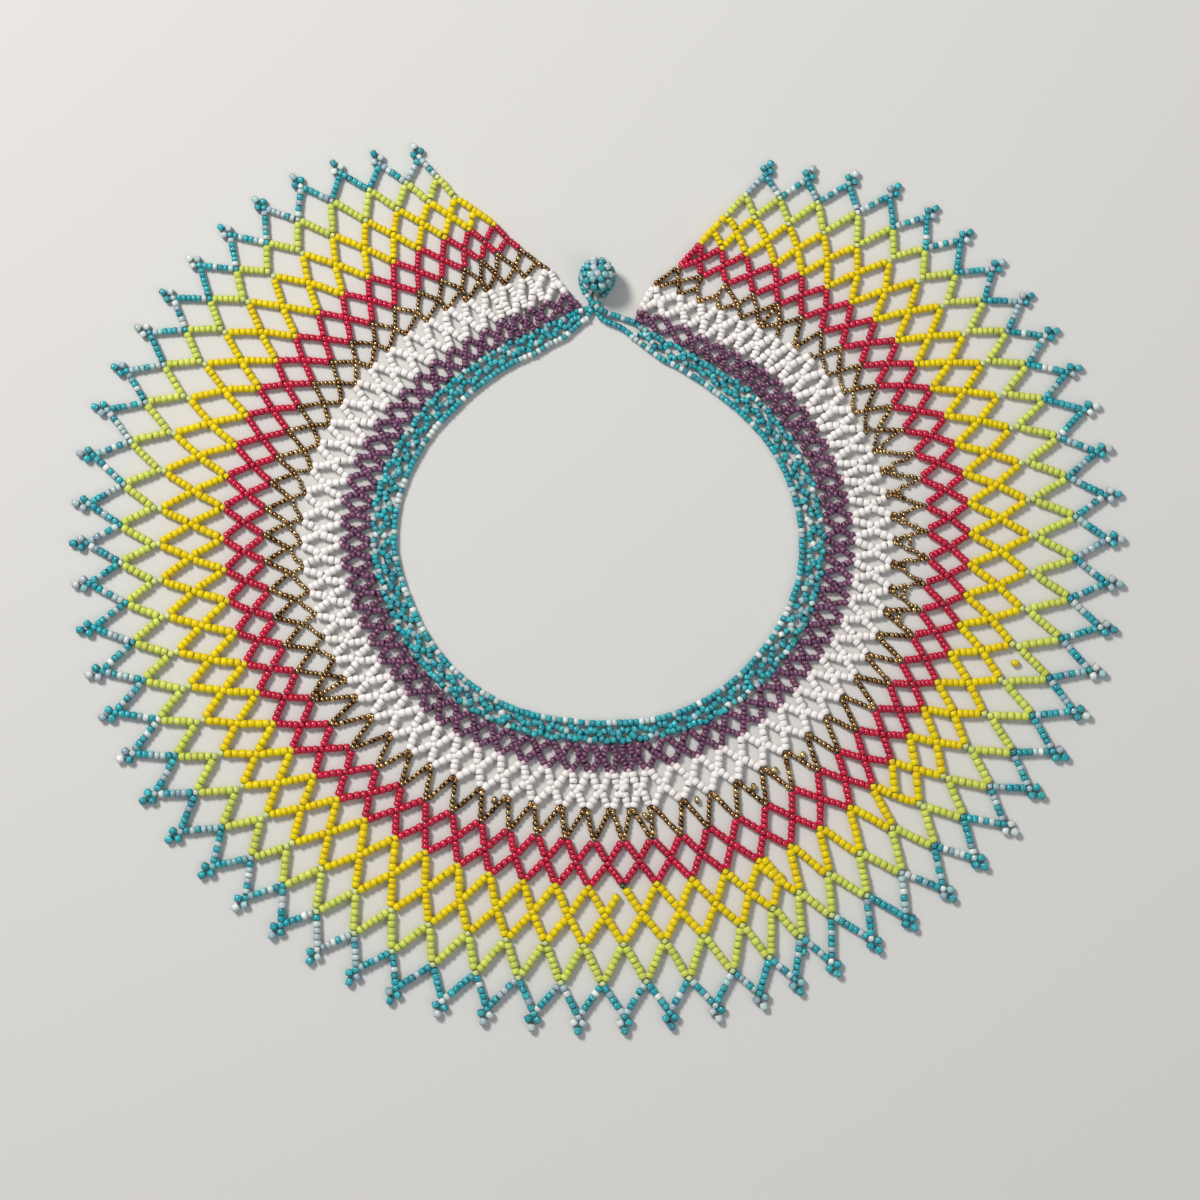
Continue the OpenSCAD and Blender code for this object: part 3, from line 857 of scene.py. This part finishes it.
class COLLAR_OT_turquoise(PieceOperator, bpy.types.Operator):
    """The two turquoise chains beside the rim, waved so that small holes stand between them"""
    bl_idname = "collar.turquoise_band"
    bl_label = "Turquoise band"

    def build(self, settings):
        beads = beads_of(settings, "chain", seed=12, pale=0.17, palest=(0.3, 1.5))
        for share, wave in (INNER_CHAIN, OUTER_CHAIN):
            line = []
            for step in range(CHAIN_LAST * CHAIN_STEPS + 1):
                column = step / CHAIN_STEPS
                angle = row_angle(TURQUOISE, column)
                rim, edge = section("rim", angle), section("turquoise", angle)
                reach = (share + wave * math.cos(2 * math.pi * column)) * (edge - rim)
                line.append(at(rim + reach, angle))
            if (share, wave) == OUTER_CHAIN:
                line += [NECK + Vector(stem) for stem in CHAIN_STEM]
            beads.line(line, beads.length, loose=0.36)
        beaded_piece("turquoise_band_beads", beads, turquoise_material(), "turquoise_beads",
                     ["turquoise_band"], Seed=5, Tilt=0.4, Spread=0.1)


def crossed(outer_row):
    """The strands of two rows of a net."""
    legs = []
    for column in columns_of(outer_row + 1):
        middle = knot(outer_row + 1, column)
        for end_column in (column - 0.5, column + 0.5):
            legs += [(knot(outer_row, end_column), middle), (middle, knot(outer_row + 2, end_column))]
    return [leg for leg in legs if leg[0] and leg[1]]


def zigzag(outer_row):
    """The strands of one row of a net."""
    return [
        (knot(outer_row, column), knot(outer_row + 1, end))
        for column in columns_of(outer_row)
        for end in (column - 0.5, column + 0.5) if knot(outer_row + 1, end)
    ]


def knot_beads(beads, row, width, mark=None):
    for column in columns_of(row):
        beads.bead_at_knot(knot(row, column), width, mark)


class COLLAR_OT_purple(PieceOperator, bpy.types.Operator):
    """The band of small purple beads"""
    bl_idname = "collar.purple_band"
    bl_label = "Purple band"

    def build(self, settings):
        beads = beads_of(settings, "purple", seed=21)
        beads.net(crossed(PURPLE), reach=1.35, count=3, loose=0.2)
        beads.net([(knot(PURPLE, 0), knot(TURQUOISE, 0))], reach=1.35)
        knot_beads(beads, PURPLE + 1, width=1.75)
        material = bead_material("Purple glass", settings.purple_colour, linear(150, 116, 134), {
            # The fleck colour is a painted sheen of lavender highlights on the purple glass
            "drift": linear(110, 62, 94), "painted_sheen": linear(176, 134, 160), "rough": 0.26, "gloss": 0.5,
            "spread": 0.3, "end_shade": 0.4,
        })
        beaded_piece("purple_beads", beads, material, "purple_beads", ["purple_band"],
                     Seed=7, Tilt=0.3, Spread=0.1)


class COLLAR_OT_white(PieceOperator, bpy.types.Operator):
    """The band of stout matt white beads"""
    bl_idname = "collar.white_band"
    bl_label = "White band"

    def build(self, settings):
        beads = beads_of(settings, "white", seed=22, fade=0.3)
        beads.net(crossed(WHITE), reach=1.62, count=3, loose=0.1)
        beads.net([(knot(WHITE, 0), knot(PURPLE, 0))], reach=1.7)
        knot_beads(beads, WHITE + 1, width=2.15)
        knot_beads(beads, PURPLE, width=1.75, mark=1.0)
        # A spare strand beside two legs near the middle of the bottom
        beads.strand(*(at(*end) for end in SPARE_WHITE))
        material = bead_material("White glass", settings.white_colour, linear(220, 196, 204), {
            "drift": linear(238, 232, 226), "other_drift": linear(210, 178, 190), "rough": 0.42,
            "spread": 0.05, "end_shade": 0.1, "grain": 0.3,
        })
        beaded_piece("white_beads", beads, material, "white_beads", ["white_band"],
                     **{"Seed": 9, "End width": 0.72, "Tilt": 0.16, "Spread": 0.09})


class COLLAR_OT_bronze(PieceOperator, bpy.types.Operator):
    """The band of small bronze beads: a net on the left and near the right end, a zigzag elsewhere"""
    bl_idname = "collar.bronze_band"
    bl_label = "Bronze band"

    def build(self, settings):
        beads = beads_of(settings, "bronze", seed=23, pale=0.2)
        reach = 1.35
        legs, tangled = [], []
        for angle, outers, inners in BRONZE_MIDDLES:
            self.cross(beads, legs, legs, angle, 0.52, outers, inners)
        for column in CROSSED_LEFT:
            angle = row_angle(BRONZE, column + 0.5)
            short = tangled if column in TWISTED_LEFT else legs
            share = 0.62 if column < FARTHER_OUT_FROM else 0.56
            self.cross(beads, legs, short, angle, share, (column, column + 1), (column + 3, column + 4))
        legs += [(knot(BRONZE, 3), knot(WHITE, 5)), (knot(BRONZE, 43), knot(WHITE, 46))]
        legs.append((knot(BRONZE, -1), knot(WHITE, 0)))
        for column in CROSSED_RIGHT:
            angle = WHITE_SHARE * row_angle(WHITE, column) + (1 - WHITE_SHARE) * row_angle(BRONZE, column - 2)
            self.cross(beads, legs, tangled, angle, WHITE_SHARE, (column - 3, column - 2),
                       (column, column + 1))
        for column in ZIGZAG_COLUMNS:
            rough = tangled if column in TWISTED_RIGHT else legs
            rough += [(knot(BRONZE, column - back), knot(WHITE, column)) for back in (3, 2)]
        beads.net(legs, reach)
        # Two small beads beside each knot of the white edge
        for round_by in (-0.75, 0.75):
            for column in range(7, 47):
                here = knot(WHITE, column)
                place = here.place + round_by * clockwise(here.angle) + 0.4 * outwards(here.angle)
                beads.add(place, clockwise(here.angle + beads.hand.uniform(-50, 50)), width=1.6, length=1.4)
        knot_beads(beads, BRONZE, width=1.65, mark=0.5)
        knot_beads(beads, WHITE, width=1.6)
        # Twisted stretches of finer, brighter beads
        beads.width, beads.length, beads.pale, beads.palest = 1.45, 1.1, 0.75, (0.3, 1.0)
        beads.net(tangled, reach, loose=0.42, lift=0.15)
        # Short loose ends in the openings of the zigzag on the right
        for column in LOOSE_END_COLUMNS:
            here = knot(WHITE, column)
            out, along = outwards(here.angle), clockwise(here.angle)
            way = (along + beads.hand.uniform(-0.35, 0.35) * out).normalized()
            start = here.place + beads.hand.uniform(3.6, 4.8) * out - beads.hand.uniform(0.2, 1.6) * along
            beads.strand(start, start + beads.hand.uniform(1.9, 2.9) * way, loose=0.25, lift=0.5)
        # Bright bits caught beside the white edge
        for bit in BRIGHT_BITS:
            beads.add(NECK + Vector(bit), (beads.hand.uniform(-1, 1), 1.0), width=1.7, length=2.3, mark=1.0)
        material = bead_material("Bronze-lined glass", settings.bronze_colour, linear(240, 204, 140), {
            "drift": linear(136, 92, 54), "rough": 0.27, "metal": 0.9, "spread": 0.45, "end_shade": 0.75,
            "rough_spread": 0.14,
        })
        beaded_piece("bronze_beads", beads, material, "bronze_beads", ["bronze_band"],
                     **{"Seed": 11, "End width": 0.5, "Roundness": 2.1, "Tilt": 0.25, "Spread": 0.12})

    @staticmethod
    def cross(beads, legs, short, angle, share, outers, inners):
        """A knot in the band, at a share of the way in from the crimson edge, and its strands."""
        bronze, white = section("bronze", angle), section("white", angle)
        middle = Knot(angle, bronze + share * (white - bronze), f"bronze {angle:.2f}")
        beads.bead_at_knot(middle, 1.6)
        legs += [(knot(BRONZE, column), middle) for column in outers if knot(BRONZE, column)]
        short += [(middle, knot(WHITE, column)) for column in inners if knot(WHITE, column)]


class COLLAR_OT_crimson(PieceOperator, bpy.types.Operator):
    """The crimson net"""
    bl_idname = "collar.crimson_net"
    bl_label = "Crimson net"

    def build(self, settings):
        beads = beads_of(settings, "crimson", seed=24)
        beads.net(crossed(CRIMSON), reach=1.85, count=4)
        beads.net([(knot(CRIMSON, -1), knot(BRONZE, -1))], reach=1.85)
        knot_beads(beads, CRIMSON + 1, width=2.05)
        material = bead_material("Crimson glass", settings.crimson_colour, linear(224, 90, 110), {
            "drift": linear(192, 12, 56), "rough": 0.24, "gloss": 0.6, "spread": 0.2, "end_shade": 0.35,
        })
        beaded_piece("crimson_beads", beads, material, "crimson_beads", ["crimson_net"], Seed=13)


class COLLAR_OT_yellow(PieceOperator, bpy.types.Operator):
    """The yellow net, which is one row of long strands for a few columns"""
    bl_idname = "collar.yellow_net"
    bl_label = "Yellow net"

    def build(self, settings):
        beads = beads_of(settings, "yellow", seed=25)
        beads.net([leg for leg in self.strands() if leg != self.torn()], reach=2.0)
        beads.net([self.torn()], reach=2.0, lost=1)
        for column in columns_of(YELLOW + 1):
            if not LONG_YELLOW[0] < column < LONG_YELLOW[-1]:
                beads.bead_at_knot(knot(YELLOW + 1, column), 2.3)
        for column in columns_of(CRIMSON):
            if column != TORN_COLUMN:
                beads.bead_at_knot(knot(CRIMSON, column), 2.0, mark=0.2)
        # A loose bead, caught in an opening of the net on the right
        beads.add(NECK + LOOSE_YELLOW, (1.0, 0.3), width=2.0, length=2.2)
        material = bead_material("Yellow glass", settings.yellow_colour, linear(226, 224, 70), {
            "drift": linear(232, 200, 0), "other_drift": linear(236, 200, 50), "rough": 0.34, "spread": 0.1,
            "end_shade": 0.15,
        })
        beaded_piece("yellow_beads", beads, material, "yellow_beads", ["yellow_net"], Seed=15, Tilt=0.14)

    @staticmethod
    def strands():
        """The strands of the yellow net, with the long ones of its single row."""
        first, last = LONG_YELLOW[0], LONG_YELLOW[-1]
        legs = []
        for column in columns_of(YELLOW + 1):
            middle = knot(YELLOW + 1, column)
            for end_column in (column - 0.5, column + 0.5):
                if not first < column < last and (column, end_column) != (last + 0.5, last):
                    legs.append((middle, knot(CRIMSON, end_column)))
                if not first < column < last and end_column not in LONG_YELLOW:
                    legs.append((knot(YELLOW, end_column), middle))
        for column in LONG_YELLOW:
            legs += [(knot(YELLOW, column), knot(CRIMSON, end)) for end in (column, column + 1)]
        return [leg for leg in legs if leg[0] and leg[1]]

    @staticmethod
    def torn():
        """The strand at the bottom that has lost the bead beside its crimson knot."""
        return knot(YELLOW + 1, TORN_COLUMN + 0.5), knot(CRIMSON, TORN_COLUMN)


class COLLAR_OT_lime(PieceOperator, bpy.types.Operator):
    """The zigzag of lime beads"""
    bl_idname = "collar.lime_net"
    bl_label = "Lime net"

    def build(self, settings):
        beads = beads_of(settings, "lime", seed=26)
        legs = zigzag(LIME)
        for column in columns_of(YELLOW):
            here = knot(YELLOW, column)
            beads.bead_at_knot(here, 1.95, mark=0.5)
            # Towards the sides a knot is two beads long
            if abs(math.sin(math.radians(here.angle))) > LONG_KNOT_ABOVE:
                farther = Knot(here.angle, row_radius(YELLOW, here.angle) + 1.9, f"second {column}")
                beads.bead_at_knot(farther, 2.1, mark=0.3)
                legs = [(outer, farther if inner is here else inner) for outer, inner in legs]
        beads.net(legs, reach=2.0)
        for column in columns_of(LIME):
            here = knot(LIME, column)
            if abs(math.sin(math.radians(here.angle))) < LIME_KNOT_BELOW:
                beads.bead_at_knot(here, 1.9, mark=0.8)
        # The dark green bead above the torn yellow strand
        beads.bead_at_knot(knot(CRIMSON, TORN_COLUMN), 1.9, mark=2.0)
        material = bead_material("Lime glass", settings.lime_colour, linear(214, 224, 150), {
            "drift": linear(200, 208, 78), "other_drift": linear(196, 218, 180), "deep": linear(18, 62, 34),
            # The fleck colour is a painted sheen of pale highlights on the lime glass
            "painted_sheen": linear(234, 240, 170), "rough": 0.34, "spread": 0.12, "end_shade": 0.2,
        })
        beaded_piece("lime_beads", beads, material, "lime_beads", ["lime_net"], Seed=17, Tilt=0.14)


class COLLAR_OT_points(PieceOperator, bpy.types.Operator):
    """The outer points of turquoise and pale beads, each with a picot of three beads"""
    bl_idname = "collar.points"
    bl_label = "Turquoise points"

    def build(self, settings):
        beads = beads_of(settings, "point", seed=27, pale=0.42, palest=(0.3, 1.6))
        beads.net(zigzag(FOOT), reach=1.9)
        for column in columns_of(LIME):
            here = knot(LIME, column)
            if abs(math.sin(math.radians(here.angle))) >= LIME_KNOT_BELOW:
                beads.bead_at_knot(here, 1.95)
        for column in columns_of(FOOT):
            foot = knot(FOOT, column)
            beads.bead_at_knot(foot, 2.1, lean=70)
            out, across = outwards(foot.angle), clockwise(foot.angle)
            for across_by, out_by, length in PICOT_BEADS:
                place = foot.place + graded(foot.place) * (across_by * across + out_by * out)
                way = out if across_by == 0 else out + 0.5 * (1 if across_by < 0 else -1) * across
                beads.add(place, way, width=2.4, length=length * graded(place))
        # A stray bead on the surface under the points
        beads.add(NECK + STRAY_POINT, (0.2, 1.0), width=1.8, length=2.4)
        beaded_piece("point_beads", beads, turquoise_material(), "turquoise_beads", ["turquoise_points"],
                     Seed=19, Tilt=0.14)


class COLLAR_OT_loop(PieceOperator, bpy.types.Operator):
    """The button loop, a string of turquoise beads that crosses itself"""
    bl_idname = "collar.loop"
    bl_label = "Button loop"

    def build(self, settings):
        beads = beads_of(settings, "chain", seed=31, pale=0.24, palest=(0.2, 1.5))
        neck = Vector((NECK.x, NECK.y, 0.0))
        beads.line([place + neck for place in catmull(LOOP_ROUTE)], beads.length, loose=0.04)
        beaded_piece("loop_beads", beads, turquoise_material(), "turquoise_beads", ["button_loop"], Seed=21)


class COLLAR_OT_ball(PieceOperator, bpy.types.Operator):
    """The ball button: rings of beads set on a ball's surface"""
    bl_idname = "collar.ball"
    bl_label = "Ball button"

    def build(self, settings):
        beads = Beads(width=2.9, length=2.5, seed=32, pale=0.5, palest=(0.3, 1.5))
        centre = BALL_CENTRE + Vector((NECK.x, NECK.y, 0.0))
        for ring, count in BALL_RINGS:
            for k in range(count):
                turn = 360 * (k + ring % 2 / 2 + beads.hand.uniform(-0.12, 0.12)) / count
                down = ring + beads.hand.uniform(-3, 3)
                level = BALL_RADIUS * math.sin(math.radians(down))
                flat = outwards(turn)
                height = BALL_RADIUS * math.cos(math.radians(down))
                place = centre + Vector((level * flat.x, level * flat.y, height))
                way = clockwise(turn)
                beads.add(place, (way.x, way.y, 0.0))
        beaded_piece("ball_beads", beads, turquoise_material(), "turquoise_beads", ["button_ball"],
                     Seed=23, Tilt=0.2)


class COLLAR_OT_threads(PieceOperator, bpy.types.Operator):
    """The thread that runs through the beads from knot to knot, and the shank's finish"""
    bl_idname = "collar.threads"
    bl_label = "Threads"

    def build(self, settings):
        ends, edges = [], []
        for run in THREAD_RUNS:
            first = len(ends)
            for place in run:
                height = place.z if len(place) == 3 else THREAD_HEIGHT
                ends.append((place.x * MM, place.y * MM, height * MM))
            edges.extend((first + k, first + k + 1) for k in range(len(run) - 1))
        mesh = bpy.data.meshes.new("thread runs")
        mesh.from_pydata(ends, edges, [])
        piece = grown_piece("threads", mesh, tree("Threads on edges", thread_tree),
                            {"Thickness": settings.thread, "Material": thread_material()})
        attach(piece, "root")
        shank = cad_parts["button_shank"]
        for k in range(len(shank.material_slots)):
            shank.material_slots[k].material = thread_material()


class COLLAR_OT_stage(bpy.types.Operator):
    """The pale floor, the soft lights and the camera straight above"""
    bl_idname = "collar.stage"
    bl_label = "Stage"
    bl_options = {"REGISTER", "UNDO"}

    def execute(self, context):
        settings = context.scene.collar
        corners = ((-1, -1), (1, -1), (1, 1), (-1, 1))
        mesh = bpy.data.meshes.new("floor")
        mesh.from_pydata([(x * FLOOR_HALF, y * FLOOR_HALF, 0) for x, y in corners], [], [(0, 1, 2, 3)])
        floor = bpy.data.objects.new("floor", mesh)
        context.scene.collection.objects.link(floor)
        material = bpy.data.materials.new("Floor")
        material.use_nodes = True
        shader = material.node_tree.nodes["Principled BSDF"]
        shader.inputs["Base Color"].default_value = (*settings.floor_colour, 1.0)
        shader.inputs["Roughness"].default_value = 0.9
        mesh.materials.append(material)
        for name, place, width, power, tint in LIGHTS:
            data = bpy.data.lights.new(name, "AREA")
            data.size = width
            data.energy = power
            data.color = tint
            light = bpy.data.objects.new(name, data)
            light.location = place
            light.rotation_euler = (-Vector(place)).to_track_quat("-Z", "Y").to_euler()
            context.scene.collection.objects.link(light)
        world = bpy.data.worlds.new("Soft room")
        world.use_nodes = True
        world.node_tree.nodes["Background"].inputs["Color"].default_value = (0.9, 0.93, 1.0, 1.0)
        world.node_tree.nodes["Background"].inputs["Strength"].default_value = 0.32
        context.scene.world = world
        context.scene.view_settings.view_transform = "Standard"
        view = bpy.data.cameras.new("camera")
        view.sensor_width = 36.0
        view.lens = 120.0
        view.clip_end = 20.0
        camera = bpy.data.objects.new("camera", view)
        camera.location = CAMERA_PLACE
        context.scene.collection.objects.link(camera)
        context.scene.camera = camera
        return {"FINISHED"}


PIECES = (
    COLLAR_OT_rim, COLLAR_OT_turquoise, COLLAR_OT_purple, COLLAR_OT_white, COLLAR_OT_bronze,
    COLLAR_OT_crimson, COLLAR_OT_yellow, COLLAR_OT_lime, COLLAR_OT_points, COLLAR_OT_loop, COLLAR_OT_ball,
    COLLAR_OT_threads,
)


class COLLAR_PT_panel(bpy.types.Panel):
    """The collar's pieces and settings"""
    bl_idname = "COLLAR_PT_panel"
    bl_label = "Netted bead collar"
    bl_space_type = "VIEW_3D"
    bl_region_type = "UI"
    bl_category = "Collar"

    def draw(self, context):
        for name in CollarSettings.__annotations__:
            self.layout.prop(context.scene.collar, name)
        for piece in (*PIECES, COLLAR_OT_stage):
            self.layout.operator(piece.bl_idname)


CLASSES = (CollarSettings, *PIECES, COLLAR_OT_stage, COLLAR_PT_panel)


def register():
    for made in CLASSES:
        bpy.utils.register_class(made)
    bpy.types.Scene.collar = bpy.props.PointerProperty(type=CollarSettings)


def unregister():
    del bpy.types.Scene.collar
    for made in reversed(CLASSES):
        bpy.utils.unregister_class(made)


def main():
    register()
    for made in (COLLAR_OT_stage, *PIECES):
        space, name = made.bl_idname.split(".")
        getattr(getattr(bpy.ops, space), name)()
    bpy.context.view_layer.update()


if __name__ == "__main__":
    main()
